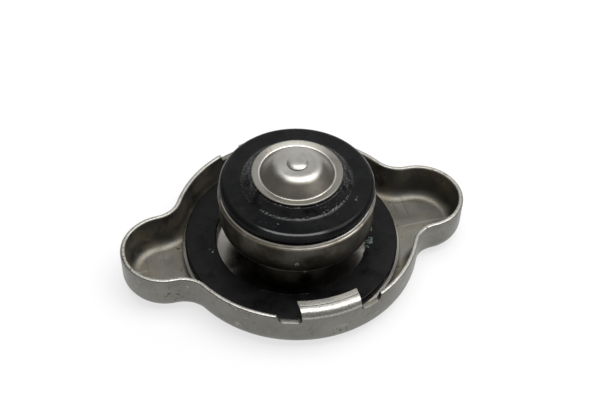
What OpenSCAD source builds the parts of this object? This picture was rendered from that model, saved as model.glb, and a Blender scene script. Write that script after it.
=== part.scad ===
// Bayonet radiator cap with a two-way valve, lying on its outer face.
// Millimetres. Z runs up from the outer face, X along the two wings.

/* [Shell] */
// Outer radius of the round shell
shell_r = 22.9; // [22.4:0.1:23.6]
// Height of the shell's rim above the outer face
shell_h = 8; // [7.4:0.1:9]
// Thickness of the drawn sheet
shell_t = 0.9; // [0.7:0.05:1]
// Outside radius of the drawn bottom corner
corner_r = 3; // [2.4:0.1:3.4]
// Distance from the axis to the centre of each wing's round end
wing_x = 24.6; // [24:0.1:25.4]
// Radius of each wing's round end
wing_r = 8.14; // [7.6:0.02:8.6]

/* [Bayonet tabs] */
// Width of each bent tab
tab_w = 10.8; // [9:0.1:12]
// Height of the tab's face above the rim
tab_rise = 1; // [0.6:0.1:1.6]
// Radius of the tab's inner edge
tab_inner_r = 19.7; // [19:0.1:20.4]
// Outside radius of the tab's bend
tab_bend_r = 1.6; // [1.2:0.1:2]
// Width of the relief notch on each side of a tab
notch_w = 3.9; // [2.5:0.1:4.5]
// Depth of the relief notch below the rim
notch_d = 1.2; // [0.8:0.1:1.6]

/* [Upper seal] */
// Outer radius of the rubber gasket ring
gasket_r = 19.85; // [19:0.05:20]
// Inner radius of the rubber gasket ring
gasket_hole_r = 14.05; // [13:0.05:15]
// Thickness of the rubber gasket ring
gasket_t = 1.62; // [1.2:0.02:2]
// Radius of the spring disc that carries the gasket
disc_r = 20.4; // [20.1:0.05:20.6]
// How far the disc and its gasket lie off centre, towards the -X wing
disc_shift = 0.85; // [0:0.05:0.85]

/* [Pressure valve] */
// Height of the pot's underside above the outer face
pot_z = 9.1; // [8.8:0.1:9.6]
// Height of the pot's wall
pot_h = 7.5; // [7.2:0.1:7.8]
// Outer radius of the pot's rolled rim
pot_r = 14.25; // [13.8:0.05:14.6]
// Height of the rubber seal's flat face above the pot's rim
seal_rise = 2.2; // [2:0.1:2.6]
// Height of the collar in the middle of the seal
collar_h = 1.5; // [1.2:0.1:1.8]
// Wire diameter of the pressure spring
pressure_wire = 1.3; // [1:0.05:1.4]

/* [Vacuum valve] */
// Outer radius of the vacuum dome's rim
dome_r = 8.15; // [7.8:0.05:8.3]
// Height of the vacuum dome
dome_h = 2.6; // [2.2:0.1:3]
// Radius of the rivet head on the dome
stem_head_r = 1.9; // [1.6:0.05:2.2]
// Wire diameter of the vacuum spring
vacuum_wire = 0.4; // [0.3:0.05:0.5]

/* [Hidden] */
$fn = 96;

steel = "#9a9890";
bright_steel = "#c2c0b9";
rubber = "#1b1b1c";
wire = "#8a8880";

// Small gap between faces that rest on each other
seat = 0.03;
// Room round a rubber or steel piece that sits loosely in another
loose = 0.05;
// Overlap that lets cuts break through cleanly
over = 1;

// The web between shell and wing is a concave arc, tangent to both and centred beside the wing's centre
web_r = (wing_x * wing_x + wing_r * wing_r - shell_r * shell_r) / (2 * (shell_r - wing_r));
web_at = [wing_x, wing_r + web_r];
// Floor strips that the wall segments carry inwards of their corner
shell_strip = 2;
wing_strip = 1.5;
web_strip = 3;
floor_lap = 1;
notch_corner_r = 0.7;

// Recess in the middle of the outer face for the rivet's head
recess_d = 1.05;
recess_r = 7;
recess_slope = 1;
rivet_r = 2.5;
rivet_fit = 0.04;
rivet_head_r = 4;
rivet_head_t = 0.85;
rivet_head_slope = 0.4;

// Stack on the rivet, from the shell inwards
washer_z = shell_t + recess_d + seat;
washer_t = 0.3;
washer_r = 6.5;
disc_z = washer_z + washer_t;
disc_t = 0.35;
disc_hole_r = rivet_r + 0.9;
bell_z = disc_z + disc_t;
bell_t = 0.5;
bell_r = 7.2;
bell_flange_r = 10.4;
bell_vent_r = 1.2;
bell_vents = 4;

// Pressure valve
pot_t = 0.6;
pot_hole_r = 7.7;
pot_corner_r = 1.5;
pot_band_h = 0.95;
pot_band_step = 0.2;
pot_rim_r = 0.45;
pot_wall_r = pot_r - pot_band_step;
pot_rim_z = pot_z + pot_h;
pot_lip_r = 13.2;
bell_top = pot_z + pot_t + loose + bell_t;
plate_t = 0.78;
plate_z = 13.8;
plate_hole_r = 2.2;
seal_z = plate_z + plate_t;
seal_face_z = pot_rim_z + seal_rise;
seal_r = pot_r - 0.35;
seal_edge_r = 0.9;
seal_hole_r = 4.5;
collar_r = 8.5;
collar_fillet_r = 1.4;
collar_z = seal_face_z + collar_h;

// Vacuum valve
dome_z = collar_z + seat;
dome_t = 0.45;
dome_flat_r = 3.4;
dome_shoulder_r = 1.8;
dome_slope = 40;
dome_top = dome_z + dome_h;
dome_groove_r = 0.16;
stem_r = 1.2;
stem_head_h = 0.55;
stem_end_z = 9.4;
stem_end_r = 1.7;
retainer_z = 9.9;
retainer_t = 0.4;
retainer_r = 3.4;

// Springs
pressure_spring_r = 5.6;
pressure_turns = 4.25;
vacuum_spring_r = 2.65;
vacuum_turns = 4;
coil_steps = 20;
coil_sides = 8;

// Quarter of a bent sheet: outside radius r, thickness t, its corner at the origin
module bend(r, t) {
    translate([r, r])
        intersection() {
            difference() {
                circle(r);
                circle(r - t);
            }
            translate([-2 * r, -2 * r])
                square(2 * r);
        }
}

// Section of the drawn wall, from its outer face at x = 0 inwards, with a strip of floor
module wall_section(strip) {
    bend(corner_r, shell_t);
    translate([0, corner_r])
        square([shell_t, shell_h - corner_r]);
    translate([corner_r, 0])
        square([strip, shell_t]);
}

// Section of the bent bayonet tab, from its outer face at x = 0 inwards
module tab_section() {
    top = shell_h + tab_rise;
    translate([0, corner_r + floor_lap])
        square([shell_t, top - tab_bend_r - corner_r - floor_lap]);
    translate([0, top])
        mirror([0, 1])
            bend(tab_bend_r, shell_t);
    translate([tab_bend_r, top - shell_t])
        square([shell_r - tab_inner_r - tab_bend_r, shell_t]);
}

// Upright prism that parts the wall where two arcs meet
module part_off(corners) {
    translate([0, 0, -over])
        linear_extrude(shell_h + 2 * over)
            polygon(corners);
}

// Round wall of the shell, open towards both wings
module body_wall() {
    difference() {
        rotate_extrude()
            translate([shell_r, 0])
                mirror([1, 0])
                    wall_section(shell_strip);
        for (mx = [0, 1])
            mirror([mx, 0, 0])
                part_off([[0, 0], 2 * web_at, [2 * web_at.x, -2 * web_at.y]]);
    }
}

// Concave wall between the shell and a wing
module web_wall() {
    intersection() {
        translate([web_at.x, web_at.y, 0])
            rotate_extrude()
                translate([web_r, 0])
                    wall_section(web_strip);
        part_off([[0, 0], web_at, [web_at.x, 0]]);
    }
}

// Round end of a wing
module wing_wall() {
    translate([wing_x, 0, 0])
        rotate_extrude(start = -90, angle = 180)
            translate([wing_r, 0])
                mirror([1, 0])
                    wall_section(wing_strip);
}

module shell_floor() {
    half_w = wing_r - corner_r - wing_strip / 2;
    cylinder(r = shell_r - corner_r - floor_lap, h = shell_t);
    translate([-wing_x, -half_w, 0])
        cube([2 * wing_x, 2 * half_w, shell_t]);
    for (side = [-1, 1])
        translate([side * wing_x, 0, 0])
            cylinder(r = half_w, h = shell_t);
}

// Bent tab at the +Y side, with straight sides
module bayonet_tab() {
    spread = 40;
    intersection() {
        rotate_extrude(start = 90 - spread / 2, angle = spread)
            translate([shell_r, 0])
                mirror([1, 0])
                    tab_section();
        translate([-tab_w / 2, 0, 0])
            cube([tab_w, shell_r + over, shell_h + tab_rise + over]);
    }
}

// Relief notch beside a tab, with rounded corners at its foot
module notch() {
    foot = shell_h - notch_d;
    up = tab_rise + notch_d + over;
    translate([tab_w / 2, shell_r + over, foot])
        rotate([90, 0, 0])
            linear_extrude(shell_r - tab_inner_r + 2 * over) {
                translate([notch_corner_r, 0])
                    square([notch_w - 2 * notch_corner_r, up]);
                translate([0, notch_corner_r])
                    square([notch_w, up - notch_corner_r]);
                for (x = [notch_corner_r, notch_w - notch_corner_r])
                    translate([x, notch_corner_r])
                        circle(notch_corner_r);
            }
}

// Pressed recess: a cone frustum of the given base radius
module recess(r, z) {
    translate([0, 0, z])
        cylinder(r1 = r + recess_slope, r2 = r, h = recess_d);
}

module cap_shell() {
    color(steel)
        difference() {
            union() {
                shell_floor();
                body_wall();
                for (my = [0, 1])
                    mirror([0, my, 0]) {
                        bayonet_tab();
                        for (mx = [0, 1])
                            mirror([mx, 0, 0])
                                web_wall();
                    }
                for (mx = [0, 1])
                    mirror([mx, 0, 0])
                        wing_wall();
                recess(recess_r + shell_t / 2, shell_t);
            }
            for (my = [0, 1], mx = [0, 1])
                mirror([0, my, 0])
                    mirror([mx, 0, 0])
                        notch();
            recess(recess_r, 0);
            cylinder(r = rivet_r + rivet_fit, h = shell_h);
        }
}

// Rivet that holds the stack in the shell and lets it turn
module centre_rivet() {
    inner_head_z = bell_z + bell_t;
    color(bright_steel) {
        translate([0, 0, recess_d - seat - rivet_head_t])
            cylinder(r1 = rivet_head_r - rivet_head_slope, r2 = rivet_head_r, h = rivet_head_t);
        translate([0, 0, recess_d - seat - rivet_head_t])
            cylinder(r = rivet_r, h = inner_head_z - recess_d + seat + 2 * rivet_head_t);
        translate([0, 0, inner_head_z])
            cylinder(r1 = rivet_head_r, r2 = rivet_head_r - 2 * rivet_head_slope, h = rivet_head_t);
    }
}

module swivel_washer() {
    color(bright_steel)
        translate([0, 0, washer_z])
            difference() {
                cylinder(r = washer_r, h = washer_t);
                translate([0, 0, -over])
                    cylinder(r = rivet_r + seat, h = washer_t + 2 * over);
            }
}

// Thin sprung disc, loose on the rivet by the play of its hole
module spring_disc() {
    color(bright_steel)
        translate([-disc_shift, 0, disc_z])
            difference() {
                cylinder(r = disc_r, h = disc_t);
                translate([0, 0, -over])
                    cylinder(r = disc_hole_r, h = disc_t + 2 * over);
            }
}

module gasket_ring() {
    edge = 0.25;
    color(rubber)
        translate([-disc_shift, 0, disc_z + disc_t])
            rotate_extrude() {
                translate([gasket_hole_r, 0])
                    square([gasket_r - gasket_hole_r, gasket_t - edge]);
                translate([gasket_hole_r + edge, 0])
                    square([gasket_r - gasket_hole_r - 2 * edge, gasket_t]);
                for (x = [gasket_hole_r + edge, gasket_r - edge])
                    translate([x, gasket_t - edge])
                        circle(edge);
            }
}

// Guide for the pressure spring, with a flange that stops the pot
module spring_bell() {
    color(steel)
        difference() {
            translate([0, 0, bell_z])
                rotate_extrude() {
                    h = bell_top - bell_z;
                    translate([rivet_r + seat, 0])
                        square([bell_r - rivet_r - seat, bell_t]);
                    translate([bell_r - bell_t, 0])
                        square([bell_t, h]);
                    translate([bell_r - bell_t, h - bell_t])
                        square([bell_flange_r - bell_r + bell_t, bell_t]);
                }
            for (i = [0 : bell_vents - 1])
                rotate([0, 0, i * 360 / bell_vents])
                    translate([0, 0, (bell_z + pot_z) / 2])
                        rotate([0, 90, 0])
                            cylinder(r = bell_vent_r, h = bell_r + over);
        }
}

// Height of a coil's wire after t turns, with one closed turn at each end
function coil_z(t, turns, pitch, d) =
    d * min(t, 1) + pitch * max(0, min(t, turns - 1) - 1) + d * max(0, t - turns + 1);

// Compression spring between two heights, swept as one wire
module coil(r, d, z0, z1, turns) {
    pitch = (z1 - z0 - 3 * d) / (turns - 2);
    rings = turns * coil_steps;
    points = [
        for (i = [0 : rings], j = [0 : coil_sides - 1])
            let (
                a = 360 * i / coil_steps,
                b = 360 * j / coil_sides,
                reach = r + d / 2 * cos(b)
            )
            [
                reach * cos(a),
                reach * sin(a),
                z0 + d / 2 + coil_z(i / coil_steps, turns, pitch, d) + d / 2 * sin(b)
            ]
    ];
    walls = [
        for (i = [0 : rings - 1], j = [0 : coil_sides - 1])
            let (n = (j + 1) % coil_sides)
            [
                i * coil_sides + j,
                i * coil_sides + n,
                (i + 1) * coil_sides + n,
                (i + 1) * coil_sides + j
            ]
    ];
    ends = [
        [for (j = [coil_sides - 1 : -1 : 0]) j],
        [for (j = [0 : coil_sides - 1]) rings * coil_sides + j]
    ];
    polyhedron(points = points, faces = concat(walls, ends), convexity = 6);
}

module pressure_spring() {
    color(wire)
        coil(
            pressure_spring_r, pressure_wire, bell_z + bell_t + seat, plate_z - seat, pressure_turns
        );
}

// Drawn pot with a hole for the bell and a rim rolled in over the seal
module valve_pot() {
    inner_r = pot_wall_r - pot_t;
    color(steel)
        rotate_extrude()
            difference() {
                union() {
                    translate([0, pot_z + pot_corner_r])
                        square([pot_wall_r, pot_h - pot_corner_r - pot_band_h / 2]);
                    translate([0, pot_z])
                        square([pot_wall_r - pot_corner_r, pot_h]);
                    translate([pot_wall_r - pot_corner_r, pot_z + pot_corner_r])
                        circle(pot_corner_r);
                    translate([pot_lip_r, pot_rim_z - pot_band_h])
                        square([pot_r - pot_lip_r, pot_band_h - pot_rim_r]);
                    translate([pot_lip_r, pot_rim_z - pot_band_h])
                        square([pot_r - pot_rim_r - pot_lip_r, pot_band_h]);
                    translate([pot_r - pot_rim_r, pot_rim_z - pot_rim_r])
                        circle(pot_rim_r);
                }
                translate([0, pot_z + pot_t])
                    square([inner_r - pot_corner_r, pot_h - 2 * pot_t]);
                translate([0, pot_z + pot_corner_r])
                    square([inner_r, pot_h - pot_corner_r - pot_t]);
                translate([inner_r - pot_corner_r + pot_t, pot_z + pot_corner_r])
                    circle(pot_corner_r - pot_t);
                square([pot_hole_r, pot_z + pot_h]);
                translate([0, pot_z + pot_h / 2])
                    square([pot_lip_r, pot_h]);
            }
}

module backing_plate() {
    color(steel)
        translate([0, 0, plate_z])
            difference() {
                cylinder(r = pot_wall_r - pot_t - 3 * loose, h = plate_t);
                translate([0, 0, -over])
                    cylinder(r = plate_hole_r, h = plate_t + 2 * over);
            }
}

// Moulded rubber seal: plug held under the rim, broad face, raised collar in the middle
module pressure_seal() {
    plug_r = pot_wall_r - pot_t - loose;
    neck_r = pot_lip_r - loose;
    rim_top = pot_rim_z + seat;
    rim_under = pot_rim_z - pot_t - seat;
    edge_z = seal_face_z - seal_edge_r;
    color(rubber)
        rotate_extrude()
            difference() {
                union() {
                    translate([0, seal_z])
                        square([plug_r, rim_under - seal_z]);
                    translate([0, seal_z])
                        square([neck_r, rim_top - seal_z]);
                    polygon([[0, rim_top], [neck_r, rim_top], [seal_r, edge_z], [0, edge_z]]);
                    translate([0, edge_z])
                        square([seal_r - seal_edge_r, seal_edge_r]);
                    translate([seal_r - seal_edge_r, edge_z])
                        circle(seal_edge_r);
                    difference() {
                        translate([0, seal_face_z - over])
                            square([collar_r + collar_fillet_r, collar_h + over]);
                        translate([collar_r + collar_fillet_r, seal_face_z + collar_fillet_r])
                            circle(collar_fillet_r);
                        translate([collar_r, seal_face_z + collar_fillet_r])
                            square(collar_fillet_r + over);
                    }
                }
                square([seal_hole_r, collar_z + over]);
            }
}

module vacuum_spring() {
    color(wire)
        coil(
            vacuum_spring_r, vacuum_wire, retainer_z + retainer_t + seat, plate_z - seat, vacuum_turns
        );
}

// Points along an arc, with angles clockwise from straight up
function arc(centre, r, from, to, steps = 8) =
    [for (i = [0 : steps]) let (a = from + (to - from) * i / steps) centre + r * [sin(a), cos(a)]];

// Pressed steel valve that lifts off the seal's collar: flat top, round shoulder, straight slope and flat rim,
// with a groove where the rim begins
module vacuum_dome() {
    shoulder = [dome_flat_r, dome_top - dome_shoulder_r];
    outer = arc(shoulder, dome_shoulder_r, 0, dome_slope);
    inner = arc(shoulder, dome_shoulder_r - dome_t, dome_slope, 0);
    slope_end = outer[len(outer) - 1];
    rim_z = dome_z + dome_t;
    foot_r = slope_end.x + (slope_end.y - rim_z) / tan(dome_slope);
    hollow_r = inner[0].x + (inner[0].y - dome_z) / tan(dome_slope);
    edge = [dome_r - dome_t / 2, dome_z + dome_t / 2];
    groove = [foot_r + dome_groove_r, rim_z];
    color(bright_steel)
        rotate_extrude()
            polygon(concat(
                [[stem_r + seat, dome_top]],
                outer,
                arc(groove, dome_groove_r, 270, 90),
                arc(edge, dome_t / 2, 0, 180),
                [[hollow_r, dome_z]],
                inner,
                [[stem_r + seat, dome_top - dome_t]]
            ));
}

// Rivet stem of the vacuum valve, with its head on the dome and its end spread under the retainer
module vacuum_stem() {
    head_edge = 0.25;
    color(bright_steel) {
        translate([0, 0, stem_end_z])
            cylinder(r = stem_r, h = dome_top + stem_head_h - stem_end_z);
        translate([0, 0, dome_top])
            rotate_extrude() {
                square([stem_head_r, stem_head_h - head_edge]);
                square([stem_head_r - head_edge, stem_head_h]);
                translate([stem_head_r - head_edge, stem_head_h - head_edge])
                    circle(head_edge);
            }
        translate([0, 0, stem_end_z])
            cylinder(r1 = stem_r, r2 = stem_end_r, h = retainer_z - stem_end_z);
    }
}

module spring_retainer() {
    color(bright_steel)
        translate([0, 0, retainer_z])
            difference() {
                cylinder(r = retainer_r, h = retainer_t);
                translate([0, 0, -over])
                    cylinder(r = stem_r + seat, h = retainer_t + 2 * over);
            }
}

cap_shell();
centre_rivet();
swivel_washer();
spring_disc();
gasket_ring();
spring_bell();
pressure_spring();
valve_pot();
backing_plate();
pressure_seal();
vacuum_spring();
vacuum_dome();
vacuum_stem();
spring_retainer();
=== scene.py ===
import math
import random

import bpy
from mathutils import Matrix, Vector


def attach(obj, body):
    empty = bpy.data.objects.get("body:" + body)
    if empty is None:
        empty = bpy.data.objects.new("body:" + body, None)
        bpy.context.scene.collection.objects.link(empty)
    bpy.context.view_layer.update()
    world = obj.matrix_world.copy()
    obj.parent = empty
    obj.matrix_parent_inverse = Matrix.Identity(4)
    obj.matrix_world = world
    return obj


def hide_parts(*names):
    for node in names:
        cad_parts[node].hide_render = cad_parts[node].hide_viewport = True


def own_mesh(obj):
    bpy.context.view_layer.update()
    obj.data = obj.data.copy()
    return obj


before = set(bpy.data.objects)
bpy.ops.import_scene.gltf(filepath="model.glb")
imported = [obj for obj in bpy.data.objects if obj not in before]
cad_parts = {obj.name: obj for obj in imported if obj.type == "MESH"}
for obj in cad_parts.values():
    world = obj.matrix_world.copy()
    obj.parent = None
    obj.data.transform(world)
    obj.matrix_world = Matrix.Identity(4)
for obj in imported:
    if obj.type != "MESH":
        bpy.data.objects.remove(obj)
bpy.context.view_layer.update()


# Cap shell
# One stainless sheet, drawn into a round cup with two finger wings and two bent bayonet tabs.
# Tumbled to a satin grey; handling has polished the rim and the folded edges, which are also painted lighter as a
# highlight.

MM = 0.001
SMOOTH = {"interpolation_type": "SMOOTHSTEP"}
TIMES = {"operation": "MULTIPLY"}
COLOUR = {"data_type": "RGBA"}


def linear(code):
    """An sRGB hex colour as the linear RGBA that shader sockets take."""
    parts = [int(code[i:i + 2], 16) / 255 for i in (1, 3, 5)]
    return [p / 12.92 if p <= 0.04045 else ((p + 0.055) / 1.055) ** 2.4 for p in parts] + [1.0]


def feed(tree, node, inputs):
    """Feeds a node's inputs, each from a socket or with a constant."""
    for key, value in inputs.items():
        if isinstance(value, bpy.types.NodeSocket):
            tree.links.new(value, node.inputs[key])
        else:
            node.inputs[key].default_value = value


def add(tree, kind, inputs, out=0, **settings):
    """Adds one shader node with its settings and links, and gives the socket it puts out."""
    node = tree.nodes.new("ShaderNode" + kind)
    for key, value in settings.items():
        setattr(node, key, value)
    feed(tree, node, inputs)
    return node.outputs[out]


def new_material(name):
    """A node material, its shader, and the object coordinates that its patterns use."""
    material = bpy.data.materials.new(name)
    material.use_nodes = True
    tree = material.node_tree
    return material, tree, tree.nodes["Principled BSDF"], add(tree, "TexCoord", {}, "Object")


def from_cad(name, node):
    """A merged copy of a CAD node's mesh, flat faces joined up, as the selected object."""
    bpy.ops.object.select_all(action="DESELECT")
    piece = bpy.data.objects.new(name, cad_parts[node].data.copy())
    bpy.context.scene.collection.objects.link(piece)
    bpy.context.view_layer.objects.active = piece
    piece.select_set(True)
    piece.data.materials.clear()
    bpy.ops.object.mode_set(mode="EDIT")
    bpy.ops.mesh.select_all(action="SELECT")
    bpy.ops.mesh.customdata_custom_splitnormals_clear()
    bpy.ops.mesh.remove_doubles(threshold=1e-6)
    bpy.ops.mesh.dissolve_limited(angle_limit=math.radians(0.5))
    bpy.ops.object.mode_set(mode="OBJECT")
    return piece


def round_over(piece, width):
    """Rounds the selected piece's sharp edges and smooths its curved faces."""
    bevel = piece.modifiers.new("round_over", "BEVEL")
    bevel.width, bevel.segments = width, 3
    bevel.limit_method, bevel.angle_limit = "ANGLE", math.radians(30)
    bpy.ops.object.modifier_apply(modifier="round_over")
    bpy.ops.object.shade_smooth_by_angle(angle=math.radians(32))


def fit(piece, material, body, slot, *nodes):
    """Gives a finished piece its material, and its place in the frame."""
    piece.data.materials.append(material)
    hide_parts(*nodes)
    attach(piece, body)


shell = from_cad("cap_shell_sheet", "cap_shell")
rim_z = 8 * MM
tab_half = 5.45 * MM
tab_bend_foot = 7.4 * MM
wall_outside = 22.85 * MM
near = 0.01 * MM

# The wall runs straight into the tab's bend, with no ledge at the rim's height.
for spot in shell.data.vertices:
    at_tab = abs(spot.co.x) < tab_half and spot.co.xy.length > wall_outside
    if at_tab and abs(spot.co.z - rim_z) < near:
        spot.co.z = tab_bend_foot
bpy.ops.object.mode_set(mode="EDIT")
bpy.ops.mesh.select_all(action="SELECT")
bpy.ops.mesh.vert_connect_nonplanar(angle_limit=math.radians(1))

# The rim is rounded over almost the sheet's whole thickness.
bpy.ops.mesh.select_mode(type="EDGE")
bpy.ops.mesh.select_all(action="DESELECT")
bpy.ops.object.mode_set(mode="OBJECT")
rim = [key for face in shell.data.polygons
       if face.normal.z > 0.99 and abs(face.center.z - rim_z) < near for key in face.edge_keys]
for edge in shell.data.edges:
    edge.select = rim.count(edge.key) == 1
bpy.ops.object.mode_set(mode="EDIT")
bpy.ops.mesh.bevel(offset=0.36 * MM, segments=4, affect="EDGES")
bpy.ops.mesh.select_mode(type="VERT")
bpy.ops.object.mode_set(mode="OBJECT")
round_over(shell, 0.2 * MM)

# Tumbled stainless: a soft grey sheen, cloudy and scratched, browned inside, and lighter on the rim and tab tops,
# partly from wear and partly as a painted highlight.
satin, tree, shader, place = new_material("satin_stainless")
height = add(tree, "SeparateXYZ", {"Vector": place}, "Z")
flat = add(tree, "Mapping", {"Vector": place, "Scale": (1, 1, 0)})
radius = add(tree, "VectorMath", {0: flat}, "Value", operation="LENGTH")
normal = add(tree, "TexCoord", {}, "Normal")
outwards = add(tree, "VectorMath", {0: normal, 1: flat}, "Value", operation="DOT_PRODUCT")
inside = add(tree, "MapRange", {0: outwards, 1: 3 * MM, 2: -3 * MM}, **SMOOTH)

cloud = add(tree, "TexNoise", {"Vector": place, "Scale": 1 / (7 * MM), "Detail": 6, "Roughness": 0.65})
grain = add(tree, "TexNoise", {"Vector": place, "Scale": 1 / (0.3 * MM), "Detail": 4, "Roughness": 0.7})
gritty = add(tree, "MapRange", {0: grain, 1: 0.5, 2: 0.75}, **SMOOTH)

brown = add(tree, "TexNoise", {"Vector": place, "Scale": 1 / (6 * MM), "Detail": 5, "Roughness": 0.65})
brown = add(tree, "MapRange", {0: brown, 1: 0.38, 2: 0.62}, **SMOOTH)
tarnish = add(tree, "Math", {0: inside, 1: brown}, **TIMES)

across = add(tree, "Mapping", {"Vector": place, "Scale": (0.10, 1.6, 1), "Rotation": (0, 0, 0.6)})
bright_line = add(tree, "TexNoise", {"Vector": across, "Scale": 1 / (1.4 * MM), "Detail": 1, "Roughness": 0.4})
bright_line = add(tree, "MapRange", {0: bright_line, 1: 0.68, 2: 0.74}, **SMOOTH)
along = add(tree, "Mapping", {"Vector": place, "Scale": (1.6, 0.12, 1), "Rotation": (0, 0, 0.35)})
dark_line = add(tree, "TexNoise", {"Vector": along, "Scale": 1 / (1.7 * MM), "Detail": 1, "Roughness": 0.4})
dark_line = add(tree, "MapRange", {0: dark_line, 1: 0.68, 2: 0.74}, **SMOOTH)

# The rim and tab tops are lighter: partly polished by wear, partly a painted highlight.
worn_rim_and_highlight = add(tree, "MapRange", {0: height, 1: 7.6 * MM, 2: 8.1 * MM}, **SMOOTH)
polish = add(tree, "MapRange", {0: grain, 1: 0.78, 2: 0.40}, **SMOOTH)
worn_rim_and_highlight = add(tree, "Math", {0: worn_rim_and_highlight, 1: polish}, **TIMES)

speck = add(tree, "TexNoise", {"Vector": place, "Scale": 1 / (0.7 * MM), "Detail": 3, "Roughness": 0.6})
speck = add(tree, "MapRange", {0: speck, 1: 0.62, 2: 0.69}, **SMOOTH)
dirty = add(tree, "TexNoise", {"Vector": place, "Scale": 1 / (6 * MM), "Detail": 4, "Roughness": 0.55})
dirty = add(tree, "MapRange", {0: dirty, 1: 0.42, 2: 0.58}, **SMOOTH)
speck = add(tree, "Math", {0: speck, 1: dirty}, **TIMES)

# A dark line along the tab's inner bend: a groove in the bump, and painted shade in the colour.
crease_shade = add(tree, "Math", {0: radius, 1: 20.85 * MM}, operation="SUBTRACT")
crease_shade = add(tree, "Math", {0: crease_shade}, operation="ABSOLUTE")
crease_shade = add(tree, "MapRange", {0: crease_shade, 1: 0.12 * MM, 2: 0.04 * MM}, **SMOOTH)
on_tab = add(tree, "MapRange", {0: height, 1: 8.7 * MM, 2: 8.85 * MM}, **SMOOTH)
crease_shade = add(tree, "Math", {0: crease_shade, 1: on_tab}, **TIMES)

pale = add(tree, "MapRange", {0: cloud, 1: 0.3, 2: 0.7}, **SMOOTH)
steel = add(tree, "Mix", {0: pale, 6: linear("#6c6b66"), 7: linear("#7f7e78")}, 2, **COLOUR)
for mark, strength, colour in (
        (tarnish, 0.7, "#7c715b"), (gritty, 0.35, "#4c4a45"), (bright_line, 0.35, "#a5a39c"),
        (dark_line, 0.3, "#45433e"), (worn_rim_and_highlight, 1.0, "#b9b7b0"), (speck, 0.85, "#24221f"), (crease_shade, 0.8, "#33312d")):
    share = add(tree, "Math", {0: mark, 1: strength}, **TIMES)
    steel = add(tree, "Mix", {0: share, 6: steel, 7: linear(colour)}, 2, **COLOUR)

bare = add(tree, "MapRange", {0: tarnish, 3: 1.0, 4: 0.55})
dull = add(tree, "MapRange", {0: cloud, 1: 0.3, 2: 0.7, 3: 0.30, 4: 0.44})
dull = add(tree, "Math", {0: inside, 1: 0.08, 2: dull}, operation="MULTIPLY_ADD")
dents = add(tree, "TexNoise", {"Vector": place, "Scale": 1 / (3 * MM), "Detail": 3, "Roughness": 0.55})
dents = add(tree, "Math", {0: grain, 1: 0.6, 2: dents}, operation="MULTIPLY_ADD")
dents = add(tree, "Math", {0: crease_shade, 1: -3.0, 2: dents}, operation="MULTIPLY_ADD")
relief = add(tree, "Bump", {"Height": dents, "Strength": 0.22, "Distance": 0.05 * MM})
feed(tree, shader, {"Base Color": steel, "Metallic": bare, "Roughness": dull, "Normal": relief})
fit(shell, satin, "shell", "shell_steel", "cap_shell")


# Centre rivet and swivel washer
# A steel rivet headed over on both sides; the washer lets the valve group turn on it.
# The rivet is turned and the washer stamped, and both are held by the peened heads.

rivet = from_cad("rivet_headed", "centre_rivet")
round_over(rivet, 0.15 * MM)
washer = from_cad("washer_stamped", "swivel_washer")
round_over(washer, 0.05 * MM)

# Peened steel: bright and faintly hammered, as the tool left it.
peened, tree, shader, place = new_material("peened_steel")
cloud = add(tree, "TexNoise", {"Vector": place, "Scale": 1 / (3 * MM), "Detail": 4, "Roughness": 0.55})
cloud = add(tree, "MapRange", {0: cloud, 1: 0.35, 2: 0.7}, **SMOOTH)
steel = add(tree, "Mix", {0: cloud, 6: linear("#8d8a84"), 7: linear("#b3b0a8")}, 2, **COLOUR)
hammer = add(tree, "TexNoise", {"Vector": place, "Scale": 1 / (1 * MM), "Detail": 3, "Roughness": 0.5})
relief = add(tree, "Bump", {"Height": hammer, "Strength": 0.35, "Distance": 0.06 * MM})
feed(tree, shader, {"Base Color": steel, "Metallic": 1.0, "Roughness": 0.34, "Normal": relief})
fit(rivet, peened, "carrier", "rivet_steel", "centre_rivet")
fit(washer, peened, "carrier", "rivet_steel", "swivel_washer")


# Spring disc
# A thin sprung disc that carries the gasket, loose on the rivet.
# Blanked from rolled stainless strip.

disc = from_cad("disc_rolled", "spring_disc")
round_over(disc, 0.08 * MM)

# Rolled stainless: close to a mirror, with faint rolling lines and dull dried splashes.
rolled, tree, shader, place = new_material("rolled_spring_steel")
along = add(tree, "Mapping", {"Vector": place, "Scale": (1, 0.04, 1), "Rotation": (0, 0, 0.3)})
lines = add(tree, "TexNoise", {"Vector": along, "Scale": 1 / (0.3 * MM), "Detail": 2, "Roughness": 0.5})
splash = add(tree, "TexNoise", {"Vector": place, "Scale": 1 / (5 * MM), "Detail": 4, "Roughness": 0.6})
splash = add(tree, "MapRange", {0: splash, 1: 0.35, 2: 0.75}, **SMOOTH)
steel = linear("#a5a39d")
for mark, strength, colour in ((lines, 0.3, "#8c8983"), (splash, 0.35, "#7d7668")):
    share = add(tree, "Math", {0: mark, 1: strength}, **TIMES)
    steel = add(tree, "Mix", {0: share, 6: steel, 7: linear(colour)}, 2, **COLOUR)
dull = add(tree, "MapRange", {0: splash, 3: 0.17, 4: 0.27})
feed(tree, shader, {"Base Color": steel, "Metallic": 1.0, "Roughness": dull})
fit(disc, rolled, "carrier", "disc_steel", "spring_disc")


# Gasket ring
# Flat moulded rubber ring, the upper seal.
# It lies loose on the spring disc, a little off centre.

def rounded(points):
    """A profile of (radius, height, corner radius) points with its corners turned into arcs."""
    out = []
    for i, (x, z, r) in enumerate(points):
        here = Vector((x, z))
        if r == 0 or i in (0, len(points) - 1):
            out.append(here)
            continue
        before = (Vector(points[i - 1][:2]) - here).normalized()
        after = (Vector(points[i + 1][:2]) - here).normalized()
        half = before.angle(after) / 2
        start, end = here + before * (r / math.tan(half)), here + after * (r / math.tan(half))
        middle = here + (before + after).normalized() * (r / math.sin(half))
        sweep = (start - middle).angle_signed(end - middle)
        count = max(2, round(abs(math.degrees(sweep)) / 10))
        for k in range(count + 1):
            spoke = (start - middle).copy()
            spoke.rotate(Matrix.Rotation(-sweep * k / count, 2))
            out.append(middle + spoke)
    return out


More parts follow.
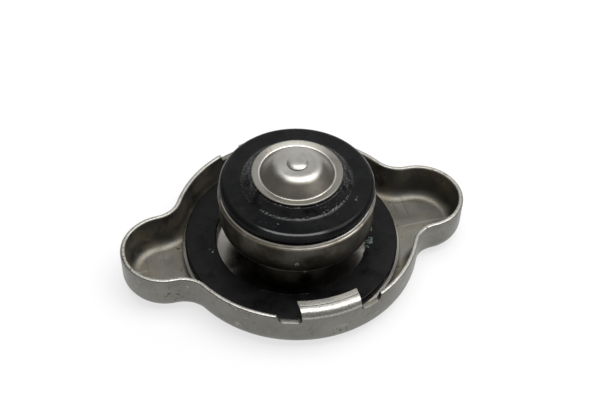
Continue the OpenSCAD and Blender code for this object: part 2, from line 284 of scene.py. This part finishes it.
def lathe(name, points, centre_x=0.0, steps=160):
    """Extrudes a vertex along a profile in mm and spins it round the upright axis."""
    profile = [Vector((centre_x + p.x, 0, p.y)) * MM for p in rounded(points)]
    bpy.ops.object.select_all(action="DESELECT")
    bpy.ops.mesh.primitive_plane_add(size=MM)
    piece = bpy.context.object
    piece.name = name
    bpy.ops.object.mode_set(mode="EDIT")
    bpy.ops.mesh.select_all(action="SELECT")
    bpy.ops.mesh.merge(type="CENTER")
    bpy.ops.transform.translate(value=profile[0])
    for a, b in zip(profile, profile[1:]):
        bpy.ops.mesh.extrude_region_move(TRANSFORM_OT_translate={"value": b - a})
    bpy.ops.mesh.select_all(action="SELECT")
    bpy.ops.mesh.spin(steps=steps, angle=math.tau, center=(centre_x * MM, 0, 0), axis=(0, 0, 1))
    bpy.ops.mesh.select_all(action="SELECT")
    bpy.ops.mesh.remove_doubles(threshold=2e-7)
    bpy.ops.mesh.normals_make_consistent(inside=False)
    bpy.ops.object.mode_set(mode="OBJECT")
    bpy.ops.object.shade_smooth_by_angle(angle=math.radians(32))
    return piece


gasket_x = -0.85
gasket = lathe("gasket_moulded", [
    (14.05, 2.63, 0), (19.85, 2.63, 0.15), (19.85, 4.25, 0.3),
    (17.2, 4.22, 3), (14.05, 4.25, 0.3), (14.05, 2.63, 0),
], centre_x=gasket_x, steps=192)

# Moulded rubber: black and satin, glossier where coolant has wetted it, with a little pale dust.
wet_ring, tree, shader, place = new_material("wet_gasket_rubber")
pores = add(tree, "TexNoise", {"Vector": place, "Scale": 1 / (0.2 * MM), "Detail": 3, "Roughness": 0.6})
waves = add(tree, "TexNoise", {"Vector": place, "Scale": 1 / (2.6 * MM), "Detail": 4, "Roughness": 0.55})
wet = add(tree, "TexNoise", {"Vector": place, "Scale": 1 / (4.5 * MM), "Detail": 5, "Roughness": 0.6})
wet = add(tree, "MapRange", {0: wet, 1: 0.40, 2: 0.64}, **SMOOTH)
dust = add(tree, "TexNoise", {"Vector": place, "Scale": 1 / (0.45 * MM), "Detail": 3, "Roughness": 0.7})
dust = add(tree, "MapRange", {0: dust, 1: 0.66, 2: 0.74}, **SMOOTH)
dust = add(tree, "Math", {0: dust, 1: 0.3}, **TIMES)
pale = add(tree, "MapRange", {0: waves, 1: 0.35, 2: 0.7}, **SMOOTH)
black = add(tree, "Mix", {0: pale, 6: linear("#0b0b0c"), 7: linear("#141415")}, 2, **COLOUR)
black = add(tree, "Mix", {0: dust, 6: black, 7: linear("#3a3e3c")}, 2, **COLOUR)
dull = add(tree, "MapRange", {0: wet, 3: 0.46, 4: 0.22})
relief = add(tree, "Math", {0: pores, 1: 0.2, 2: waves}, operation="MULTIPLY_ADD")
relief = add(tree, "Bump", {"Height": relief, "Strength": 0.35, "Distance": 0.12 * MM})
feed(tree, shader, {"Base Color": black, "Roughness": dull, "Specular IOR Level": 0.12, "Normal": relief})
fit(gasket, wet_ring, "carrier", "gasket_rubber", "gasket_ring")


# Spring bell and pressure spring
# The bell is a drawn steel guide whose flange stops the pot.
# The coil spring inside it, wound from drawn wire, presses the pot outwards.

def coil(name, mean_r, wire, bottom, top, turns, steps=28):
    """Extrudes a wire's round section along a coil whose end turns lie flat."""
    bpy.ops.object.select_all(action="DESELECT")
    bpy.ops.mesh.primitive_circle_add(
        vertices=12, radius=wire / 2 * MM, fill_type="NGON", rotation=(math.pi / 2, 0, 0),
        location=(mean_r * MM, 0, (bottom + wire / 2) * MM))
    piece = bpy.context.object
    piece.name = name
    bpy.ops.object.transform_apply(location=True, rotation=True, scale=True)
    bpy.ops.object.mode_set(mode="EDIT")
    bpy.ops.mesh.select_all(action="SELECT")
    count = round(turns * steps)
    end = 0.85 / turns

    def rise(t):
        slope_shade = 1 / (1 - end)
        bent = (t - end / 2) * slope_shade if end < t < 1 - end else (
            t * t / (2 * end) * slope_shade if t <= end else 1 - (1 - t) ** 2 / (2 * end) * slope_shade)
        return bent * (top - bottom - wire) * MM

    for k in range(count):
        bpy.ops.mesh.extrude_region_move(TRANSFORM_OT_translate={
            "value": (0, 0, rise((k + 1) / count) - rise(k / count))})
        bpy.ops.transform.rotate(value=math.tau * turns / count, orient_axis="Z", center_override=(0, 0, 0))
    bpy.ops.mesh.select_all(action="SELECT")
    bpy.ops.mesh.normals_make_consistent(inside=False)
    bpy.ops.object.mode_set(mode="OBJECT")
    bpy.ops.object.shade_smooth_by_angle(angle=math.radians(40))
    return piece


bell = from_cad("bell_drawn", "spring_bell")
round_over(bell, 0.12 * MM)
spring_foot = 3.16
plate_under = 13.77
spring = coil("pressure_coil", 5.6, 1.3, spring_foot, plate_under, 4.25)

# Oiled drawn steel: dull grey, with faint upright draw lines.
inner, tree, shader, place = new_material("oiled_inner_steel")
oil = add(tree, "TexNoise", {"Vector": place, "Scale": 1 / (2.5 * MM), "Detail": 5, "Roughness": 0.6})
oil = add(tree, "MapRange", {0: oil, 1: 0.35, 2: 0.7}, **SMOOTH)
steel = add(tree, "Mix", {0: oil, 6: linear("#6a6761"), 7: linear("#86837c")}, 2, **COLOUR)
upright = add(tree, "Mapping", {"Vector": place, "Scale": (1, 1, 0.08)})
lines = add(tree, "TexNoise", {"Vector": upright, "Scale": 1 / (0.4 * MM), "Detail": 2, "Roughness": 0.5})
relief = add(tree, "Bump", {"Height": lines, "Strength": 0.2, "Distance": 0.04 * MM})
feed(tree, shader, {"Base Color": steel, "Metallic": 1.0, "Roughness": 0.4, "Normal": relief})
fit(bell, inner, "carrier", "inner_steel", "spring_bell")

# Drawn spring wire: smooth and dark, a little uneven in tone.
wire, tree, shader, place = new_material("drawn_spring_wire")
tone = add(tree, "TexNoise", {"Vector": place, "Scale": 1 / (1.2 * MM), "Detail": 4, "Roughness": 0.6})
tone = add(tree, "MapRange", {0: tone, 1: 0.35, 2: 0.7}, **SMOOTH)
steel = add(tree, "Mix", {0: tone, 6: linear("#5d5a54"), 7: linear("#827f78")}, 2, **COLOUR)
feed(tree, shader, {"Base Color": steel, "Metallic": 1.0, "Roughness": 0.36})
fit(spring, wire, "carrier", "spring_wire", "pressure_spring")
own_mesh(spring)


# Valve pot and backing plate
# A drawn steel pot whose rim is rolled in over the rubber seal.
# The stamped plate inside it, under the rubber, takes the push of both springs.

pot = lathe("pot_drawn", [
    (7.7, 9.7, 0), (7.7, 9.1, 0.15), (14.05, 9.1, 1.5), (14.05, 15.45, 0.15), (14.25, 15.65, 0.12),
    (14.25, 16.02, 0.22), (13.88, 16.16, 0.12), (13.82, 16.6, 0.24), (13.2, 16.6, 0.2),
    (13.2, 16.0, 0.1), (13.45, 16.0, 0.1), (13.45, 9.7, 0.9), (7.7, 9.7, 0),
], steps=192)
plate = from_cad("plate_stamped", "backing_plate")
round_over(plate, 0.1 * MM)

# Drawn steel: smooth, with fine upright draw lines, browned and spotted by dried coolant,
# with painted shade darkening it towards the foot, and lighter on the rolled rim, partly rubbed and partly a
# painted highlight.
drawn_pot, tree, shader, place = new_material("stained_drawn_steel")
height = add(tree, "SeparateXYZ", {"Vector": place}, "Z")
upright = add(tree, "Mapping", {"Vector": place, "Scale": (1, 1, 0.06)})
lines = add(tree, "TexNoise", {"Vector": upright, "Scale": 1 / (0.35 * MM), "Detail": 2, "Roughness": 0.5})
haze = add(tree, "TexNoise", {"Vector": place, "Scale": 1 / (4 * MM), "Detail": 5, "Roughness": 0.6})
brown = add(tree, "MapRange", {0: haze, 1: 0.5, 2: 0.75}, **SMOOTH)
spots = add(tree, "TexNoise", {"Vector": place, "Scale": 1 / (0.9 * MM), "Detail": 3, "Roughness": 0.6})
spots = add(tree, "MapRange", {0: spots, 1: 0.62, 2: 0.7}, **SMOOTH)
mottle = add(tree, "TexNoise", {"Vector": place, "Scale": 1 / (7 * MM), "Detail": 5, "Roughness": 0.65})
mottle = add(tree, "MapRange", {0: mottle, 1: 0.42, 2: 0.60}, **SMOOTH)
# Painted shade: the wall darkens towards the foot and goes near black at it.
low_shade = add(tree, "MapRange", {0: height, 1: 11.8 * MM, 2: 9.9 * MM}, **SMOOTH)
foot_shade = add(tree, "MapRange", {0: height, 1: 10.7 * MM, 2: 9.7 * MM}, **SMOOTH)
# The rolled rim is lighter: partly rubbed, partly a painted highlight on the bead.
rim_rub_and_highlight = add(tree, "MapRange", {0: height, 1: 16.3 * MM, 2: 16.55 * MM}, **SMOOTH)
pale = add(tree, "MapRange", {0: haze, 1: 0.35, 2: 0.7}, **SMOOTH)
steel = add(tree, "Mix", {0: pale, 6: linear("#8d8980"), 7: linear("#a3a098")}, 2, **COLOUR)
for mark, strength, colour in (
        (lines, 0.35, "#6d685e"), (brown, 0.5, "#75664c"), (spots, 0.4, "#57503f"), (mottle, 0.75, "#544c3e"),
        (low_shade, 0.75, "#35322b"), (foot_shade, 0.9, "#1b1a17"), (rim_rub_and_highlight, 0.8, "#cfccc4")):
    share = add(tree, "Math", {0: mark, 1: strength}, **TIMES)
    steel = add(tree, "Mix", {0: share, 6: steel, 7: linear(colour)}, 2, **COLOUR)
dull = add(tree, "MapRange", {0: haze, 1: 0.3, 2: 0.7, 3: 0.32, 4: 0.44})
relief = add(tree, "Bump", {"Height": lines, "Strength": 0.15, "Distance": 0.03 * MM})
feed(tree, shader, {"Base Color": steel, "Metallic": 1.0, "Roughness": dull, "Normal": relief})
fit(pot, drawn_pot, "pressure_valve", "pot_steel", "valve_pot")
fit(plate, inner, "pressure_valve", "inner_steel", "backing_plate")


# Pressure seal
# Thick moulded rubber with a raised collar that carries the dome.
# Held in the pot by its rolled rim.

seal = lathe("seal_moulded", [
    (4.5, 14.58, 0), (13.4, 14.58, 0.1), (13.4, 15.97, 0.05), (13.15, 15.97, 0),
    (13.15, 16.63, 0.1), (14.0, 17.5, 0.5), (14.0, 18.8, 1.15), (9.85, 18.8, 1.4),
    (8.5, 20.2, 0.1), (8.5, 20.3, 0.08), (4.5, 20.3, 0.1), (4.5, 14.58, 0),
], steps=192)

# Wet rubber: black, with a film of coolant in patches, fine beads on the collar
# and a bright pool along part of the upper edge; the side below it stays dry, and its darker black is painted
# shade.
wet_seal, tree, shader, place = new_material("wet_seal_rubber")
height = add(tree, "SeparateXYZ", {"Vector": place}, "Z")
flat = add(tree, "Mapping", {"Vector": place, "Scale": (1, 1, 0)})
radius = add(tree, "VectorMath", {0: flat}, "Value", operation="LENGTH")
pores = add(tree, "TexNoise", {"Vector": place, "Scale": 1 / (0.15 * MM), "Detail": 3, "Roughness": 0.6})
waves = add(tree, "TexNoise", {"Vector": place, "Scale": 1 / (2 * MM), "Detail": 4, "Roughness": 0.55})
film = add(tree, "TexNoise", {"Vector": place, "Scale": 1 / (5 * MM), "Detail": 5, "Roughness": 0.6})
film = add(tree, "MapRange", {0: film, 1: 0.40, 2: 0.62}, **SMOOTH)

beads = add(tree, "TexVoronoi", {"Vector": place, "Scale": 1 / (0.4 * MM)}, feature="SMOOTH_F1")
collar = add(tree, "MapRange", {0: radius, 1: 10.3 * MM, 2: 9.7 * MM}, **SMOOTH)
beaded = add(tree, "MapRange", {0: waves, 1: 0.34, 2: 0.5}, **SMOOTH)
beaded = add(tree, "Math", {0: collar, 1: beaded}, **TIMES)

pool_at = (-4.6 * MM, -12.8 * MM, 18.6 * MM)
pool = add(tree, "VectorMath", {0: place, 1: pool_at}, "Value", operation="DISTANCE")
pool = add(tree, "MapRange", {0: pool, 1: 7.0 * MM, 2: 4.5 * MM}, **SMOOTH)
edge = add(tree, "MapRange", {0: radius, 1: 12.9 * MM, 2: 13.2 * MM}, **SMOOTH)
upper = add(tree, "MapRange", {0: height, 1: 18.05 * MM, 2: 18.3 * MM}, **SMOOTH)
edge = add(tree, "Math", {0: edge, 1: upper}, **TIMES)
edge = add(tree, "Math", {0: edge, 1: pool}, **TIMES)
wetted = add(tree, "Math", {0: beaded, 1: 0.8}, **TIMES)
wetted = add(tree, "Math", {0: edge, 1: wetted}, operation="MAXIMUM")
# The side below the upper edge is painted darker black as shade, and kept dull.
shaded_side = add(tree, "MapRange", {0: height, 1: 18.2 * MM, 2: 17.8 * MM}, **SMOOTH)

pale = add(tree, "MapRange", {0: waves, 1: 0.35, 2: 0.7}, **SMOOTH)
black = add(tree, "Mix", {0: pale, 6: linear("#0a0a0b"), 7: linear("#121213")}, 2, **COLOUR)
for mark, strength, colour in ((film, 0.3, "#191b1c"), (shaded_side, 1.0, "#050505")):
    share = add(tree, "Math", {0: mark, 1: strength}, **TIMES)
    black = add(tree, "Mix", {0: share, 6: black, 7: linear(colour)}, 2, **COLOUR)

gloss = add(tree, "Math", {0: film, 1: wetted}, operation="MAXIMUM")
above = add(tree, "Math", {0: 1.0, 1: shaded_side}, operation="SUBTRACT")
gloss = add(tree, "Math", {0: gloss, 1: above}, **TIMES)
dull = add(tree, "MapRange", {0: gloss, 3: 0.40, 4: 0.15})
coat = add(tree, "Math", {0: wetted, 1: 0.8}, **TIMES)
relief = add(tree, "Math", {0: pores, 1: 0.12, 2: waves}, operation="MULTIPLY_ADD")
beads = add(tree, "Math", {0: beads, 1: -3.0}, **TIMES)
relief = add(tree, "Math", {0: beaded, 1: beads, 2: relief}, operation="MULTIPLY_ADD")
relief = add(tree, "Bump", {"Height": relief, "Strength": 0.35, "Distance": 0.12 * MM})
feed(tree, shader, {
    "Base Color": black, "Roughness": dull, "Specular IOR Level": 0.1, "Normal": relief,
    "Coat Weight": coat, "Coat Roughness": 0.1, "Coat Normal": relief})
fit(seal, wet_seal, "pressure_valve", "seal_rubber", "pressure_seal")


# Vacuum spring
# A light coil of drawn wire between the plate and the retainer.
# It keeps the dome on the rubber collar.

light_spring = coil("vacuum_coil", 2.65, 0.4, 10.33, plate_under, 4.0)
fit(light_spring, wire, "pressure_valve", "spring_wire", "vacuum_spring")
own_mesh(light_spring)


# Vacuum dome, stem and retainer
# A dome pressed from steel sheet, riveted to the stem that runs down through the seal.
# The stamped retainer at the stem's inner end holds the vacuum spring.

dome = lathe("dome_pressed", [
    (1.23, 22.93, 0), (4.15, 22.93, 2.6), (6.55, 20.66, 0.25), (6.75, 20.50, 0.1),
    (6.95, 20.58, 0.1), (8.15, 20.86, 0.18), (8.15, 20.34, 0.2), (6.35, 20.33, 0.3),
    (4.0, 22.48, 2.2), (1.23, 22.48, 0), (1.23, 22.93, 0),
], steps=160)
stem = lathe("stem_riveted", [
    (0, 9.4, 0), (1.2, 9.4, 0.1), (1.7, 9.9, 0.05), (1.2, 9.9, 0.05), (1.2, 22.93, 0), (1.9, 22.93, 0.05),
    (1.9, 23.09, 0.06), (1.55, 23.29, 0.4), (1.1, 23.405, 0.5), (0.55, 23.465, 0.5), (0, 23.48, 0),
], steps=96)
retainer = from_cad("retainer_stamped", "spring_retainer")
round_over(retainer, 0.08 * MM)

# Pressed steel: satin grey, with painted shade darkening the slope and the rim, a painted highlight
# in the rim's groove, and one rust-brown stain.
pressed, tree, shader, place = new_material("pressed_satin_steel")
flat = add(tree, "Mapping", {"Vector": place, "Scale": (1, 1, 0)})
radius = add(tree, "VectorMath", {0: flat}, "Value", operation="LENGTH")
grain = add(tree, "TexNoise", {"Vector": place, "Scale": 1 / (0.22 * MM), "Detail": 3, "Roughness": 0.6})
haze = add(tree, "TexNoise", {"Vector": place, "Scale": 1 / (3 * MM), "Detail": 5, "Roughness": 0.6})

# Painted shade: the slope and the rim are darkened.
shoulder = add(tree, "MapRange", {0: radius, 1: 4.0 * MM, 2: 5.0 * MM}, **SMOOTH)
slope_shade = add(tree, "MapRange", {0: radius, 1: 6.7 * MM, 2: 6.5 * MM}, **SMOOTH)
slope_shade = add(tree, "Math", {0: shoulder, 1: slope_shade}, **TIMES)
rim_shade = add(tree, "MapRange", {0: radius, 1: 6.5 * MM, 2: 6.9 * MM}, **SMOOTH)
# Painted highlight: a bright ring in the rim's groove.
groove_highlight = add(tree, "MapRange", {0: radius, 1: 6.6 * MM, 2: 6.7 * MM}, **SMOOTH)
groove_end = add(tree, "MapRange", {0: radius, 1: 7.0 * MM, 2: 6.85 * MM}, **SMOOTH)
groove_highlight = add(tree, "Math", {0: groove_highlight, 1: groove_end}, **TIMES)

stain_at = (-3.4 * MM, 6.35 * MM, 20.8 * MM)
stain = add(tree, "VectorMath", {0: place, 1: stain_at}, "Value", operation="DISTANCE")
stain = add(tree, "MapRange", {0: stain, 1: 1.1 * MM, 2: 0.3 * MM}, **SMOOTH)
patchy = add(tree, "TexNoise", {"Vector": place, "Scale": 1 / (0.6 * MM), "Detail": 4, "Roughness": 0.55})
patchy = add(tree, "MapRange", {0: patchy, 1: 0.42, 2: 0.6}, **SMOOTH)
stain = add(tree, "Math", {0: stain, 1: patchy}, **TIMES)

pale = add(tree, "MapRange", {0: haze, 1: 0.35, 2: 0.7}, **SMOOTH)
steel = add(tree, "Mix", {0: pale, 6: linear("#a3a19b"), 7: linear("#b3b1ab")}, 2, **COLOUR)
for mark, strength, colour in (
        (slope_shade, 0.7, "#777062"), (rim_shade, 0.7, "#7d7b73"), (grain, 0.3, "#77746c"),
        (groove_highlight, 0.7, "#d6d4cd"), (stain, 0.8, "#6b4a34")):
    share = add(tree, "Math", {0: mark, 1: strength}, **TIMES)
    steel = add(tree, "Mix", {0: share, 6: steel, 7: linear(colour)}, 2, **COLOUR)
dull = add(tree, "MapRange", {0: haze, 1: 0.3, 2: 0.7, 3: 0.30, 4: 0.40})
relief = add(tree, "Bump", {"Height": grain, "Strength": 0.10, "Distance": 0.03 * MM})
feed(tree, shader, {"Base Color": steel, "Metallic": 1.0, "Roughness": dull, "Normal": relief})
fit(dome, pressed, "vacuum_valve", "dome_steel", "vacuum_dome")
fit(stem, pressed, "vacuum_valve", "dome_steel", "vacuum_stem")
fit(retainer, inner, "vacuum_valve", "dome_steel", "spring_retainer")


# Coolant drops
# Left from the radiator: one greenish drop and a streak on the gasket, a few beads on the rubber seal
# and two hanging on the pot's wall.

def drops(name, spots):
    """Beads of (place, radius, proportions, turn, face direction) in mm, each cut off at the face it lies on."""
    bpy.ops.object.select_all(action="DESELECT")
    bpy.ops.mesh.primitive_uv_sphere_add(segments=24, ring_count=14, radius=0.1 * MM, location=(0, 0, 0))
    piece = bpy.context.object
    piece.name = name
    bpy.ops.object.mode_set(mode="EDIT")
    bpy.ops.mesh.select_all(action="SELECT")
    bpy.ops.mesh.delete(type="VERT")
    for spot, radius, shape, turn, out in spots:
        spot, out = Vector(spot) * MM, Vector(out).normalized()
        bpy.ops.mesh.primitive_uv_sphere_add(segments=24, ring_count=14, radius=radius * MM, location=spot)
        bpy.ops.transform.resize(value=shape, center_override=spot)
        bpy.ops.transform.rotate(value=turn, orient_axis="Z", center_override=spot)
        bpy.ops.mesh.bisect(
            plane_co=spot - out * 0.1 * radius * MM, plane_no=out, clear_inner=True, use_fill=True, threshold=1e-7)
    bpy.ops.mesh.select_all(action="SELECT")
    bpy.ops.mesh.normals_make_consistent(inside=False)
    bpy.ops.object.mode_set(mode="OBJECT")
    bpy.ops.object.shade_smooth_by_angle(angle=math.radians(60))
    return piece


chance = random.Random(7)
up = (0, 0, 1)
gasket_top = 4.24
seal_top = 18.79
bead = (1, 1, 0.55)
on_ring = [
    ((12.6, -5.6, gasket_top), 0.75, (1.1, 0.9, 0.5), 0.3, up),
    ((13.2, -4.9, gasket_top), 0.45, (1.0, 1.0, 0.5), 0.0, up),
    ((11.9, -6.6, gasket_top), 0.35, (1.2, 0.85, 0.5), 1.0, up),
    ((14.03, -2.63, gasket_top), 0.42, (1.5, 0.65, 0.5), 1.9, up),
    ((-15.96, -0.22, gasket_top), 0.28, bead, 0.0, up),
    ((-16.4, 0.6, gasket_top), 0.16, bead, 0.0, up)]
for k in range(16):
    a, r = math.radians(chance.uniform(-130, -75)), 14.3
    spot = (gasket_x + r * math.cos(a), r * math.sin(a), gasket_top)
    on_ring.append((spot, chance.uniform(0.05, 0.13), bead, 0.0, up))
on_valve = [
    ((8.52, -7.57, seal_top), 0.24, (1.2, 0.85, 0.55), 0.4, up),
    ((8.9, -7.0, seal_top), 0.14, bead, 0.0, up),
    ((-6.2, -9.4, seal_top), 0.2, (1.3, 0.8, 0.55), 0.8, up),
    ((-3.88, -13.5, 12.18), 0.36, (1.15, 0.8, 1.1), -0.28, (-3.88, -13.5, 0)),
    ((-2.4, -13.82, 10.05), 0.2, (1.5, 0.7, 0.9), -0.17, (-2.4, -13.82, 0))]
for k in range(9):
    a, r = math.radians(chance.uniform(-165, -35)), chance.uniform(10.4, 12.8)
    spot = (r * math.cos(a), r * math.sin(a), seal_top)
    on_valve.append((spot, chance.uniform(0.05, 0.09), bead, 0.0, up))
ring_drops = drops("coolant_drops_gasket", on_ring)
valve_drops = drops("coolant_drops_valve", on_valve)

# Water and antifreeze: clear, faintly green, with a bright wet highlight.
coolant, tree, shader, place = new_material("coolant_green")
tint = add(tree, "TexNoise", {"Vector": place, "Scale": 1 / (0.8 * MM), "Detail": 4, "Roughness": 0.55})
tint = add(tree, "MapRange", {0: tint, 1: 0.4, 2: 0.65}, **SMOOTH)
green = add(tree, "Mix", {0: tint, 6: linear("#7d8f86"), 7: linear("#b3c0b8")}, 2, **COLOUR)
ripple = add(tree, "TexNoise", {"Vector": place, "Scale": 1 / (0.6 * MM), "Detail": 2, "Roughness": 0.55})
relief = add(tree, "Bump", {"Height": ripple, "Strength": 0.12, "Distance": 0.1 * MM})
feed(tree, shader, {
    "Base Color": green, "Roughness": 0.1, "IOR": 1.34, "Transmission Weight": 0.75, "Normal": relief})
for piece, body, slot in (
        (ring_drops, "carrier", "gasket_rubber"), (valve_drops, "pressure_valve", "seal_rubber")):
    piece.data.materials.append(coolant)
    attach(piece, body)


# Studio
# White paper floor and backdrop, and one broad softbox overhead in a grey room.
# The camera stands at the photograph's place.

away, right = Vector((0.3048, 0.9524, 0)), Vector((0.9524, -0.3048, 0))
heading = math.radians(-17.75)

bpy.ops.object.select_all(action="DESELECT")
bpy.ops.mesh.primitive_plane_add(size=4.0, location=(0, 0, -0.05 * MM))
floor = bpy.context.object
floor.name = "floor"
bpy.ops.mesh.primitive_plane_add(
    size=1.0, location=away * 0.36 + Vector((0, 0, 0.21)), rotation=(math.pi / 2, 0, heading))
backdrop = bpy.context.object
backdrop.name = "backdrop"
backdrop.scale = (0.56, 0.42, 1)
bpy.ops.object.transform_apply(location=True, rotation=True, scale=True)

# White paper: matt, and seen as near white whatever light falls on it, yet it keeps the shadow.
paper, tree, shader, place = new_material("white_paper")
feed(tree, shader, {"Base Color": linear("#f7f7f7"), "Roughness": 0.9, "Specular IOR Level": 0.0})
camera_ray = add(tree, "LightPath", {}, "Is Camera Ray")
glossy_ray = add(tree, "LightPath", {}, "Is Glossy Ray")
transmission_ray = add(tree, "LightPath", {}, "Is Transmission Ray")
seen = add(tree, "Math", {0: camera_ray, 1: glossy_ray}, operation="MAXIMUM")
seen = add(tree, "Math", {0: seen, 1: transmission_ray}, operation="MAXIMUM")
seen = add(tree, "Math", {0: seen, 1: 0.7}, **TIMES)
white = add(tree, "Emission", {"Color": (1, 1, 1, 1), "Strength": 1.0})
lit = add(tree, "MixShader", {0: seen, 1: shader.outputs["BSDF"], 2: white})
feed(tree, tree.nodes["Material Output"], {"Surface": lit})
floor.data.materials.append(paper)
backdrop.data.materials.append(paper)

world = bpy.data.worlds.new("room")
world.use_nodes = True
world.node_tree.nodes["Background"].inputs["Color"].default_value = (0.26, 0.26, 0.265, 1)
bpy.context.scene.world = world
softbox = bpy.data.lights.new("softbox", "AREA")
softbox.shape, softbox.size, softbox.size_y = "RECTANGLE", 0.6, 0.36
softbox.energy = 3.0
lamp = bpy.data.objects.new("softbox", softbox)
lamp.location = away * 0.05 + right * 0.12 + Vector((0, 0, 0.5))
lamp.rotation_euler = (0, math.radians(12), heading)
bpy.context.scene.collection.objects.link(lamp)

camera = bpy.data.cameras.new("camera")
camera.lens, camera.sensor_width, camera.clip_start = 65.88, 36.0, 0.01
viewer = bpy.data.objects.new("camera", camera)
viewer.location = (-0.04113920, -0.13055579, 0.15820983)
viewer.rotation_euler = [math.radians(a) for a in (43.39784829, -1.14756213, -16.53665833)]
bpy.context.scene.collection.objects.link(viewer)
bpy.context.scene.camera = viewer
bpy.context.scene.view_settings.view_transform = "Standard"
